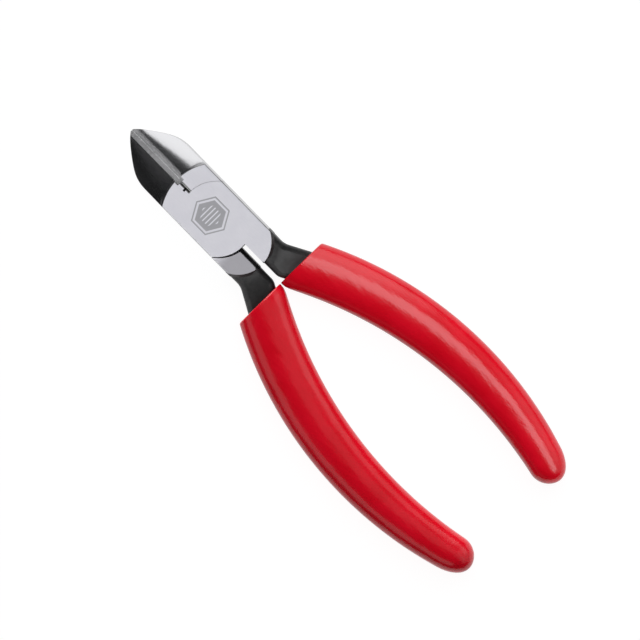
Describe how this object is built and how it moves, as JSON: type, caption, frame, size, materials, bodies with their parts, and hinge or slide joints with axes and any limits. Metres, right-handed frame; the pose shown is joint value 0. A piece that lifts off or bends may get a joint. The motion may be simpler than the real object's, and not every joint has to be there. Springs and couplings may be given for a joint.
{
  "type": "diagonal cutting pliers",
  "caption": "Diagonal cutting pliers with a riveted lap joint, ground steel head, bevelled jaws, black shanks and thick red dipped grips, for snipping wire",
  "frame": {"origin": "On the pivot's axis, in the plane of the back faces that the tool lies on", "axes": "+X from the pivot to the closed jaws' tips, +Z out of the front face, along the pivot's axis, and +Y to the left seen from the front with the tips up. The handles run back along -X"},
  "size_m": [0.1399, 0.0532, 0.009],
  "materials": {
    "front_half_steel": "forged steel, satin ground faces and bright jaw bevel, black oxide on shank and tang",
    "rear_half_steel": "forged steel, satin ground faces and bright jaw bevel, black oxide on shank and tang",
    "rivet_steel": "steel ground flush with the head's faces",
    "front_grip_vinyl": "glossy red dipped vinyl, soft and slightly wavy",
    "rear_grip_vinyl": "glossy red dipped vinyl, soft and slightly wavy"
  },
  "bodies": {
    "front": {"front_half": "front_half_steel", "joint_rivet": "rivet_steel", "front_half_grip": "front_grip_vinyl"},
    "rear": {"rear_half": "rear_half_steel", "rear_half_grip": "rear_grip_vinyl"}
  },
  "joints": [
    {"name": "jaw_opening", "type": "hinge", "parent": "front", "child": "rear", "pos_m": [0, 0, 0], "axis": [0, 0, -1], "range_deg": [0, 65]}
  ]
}
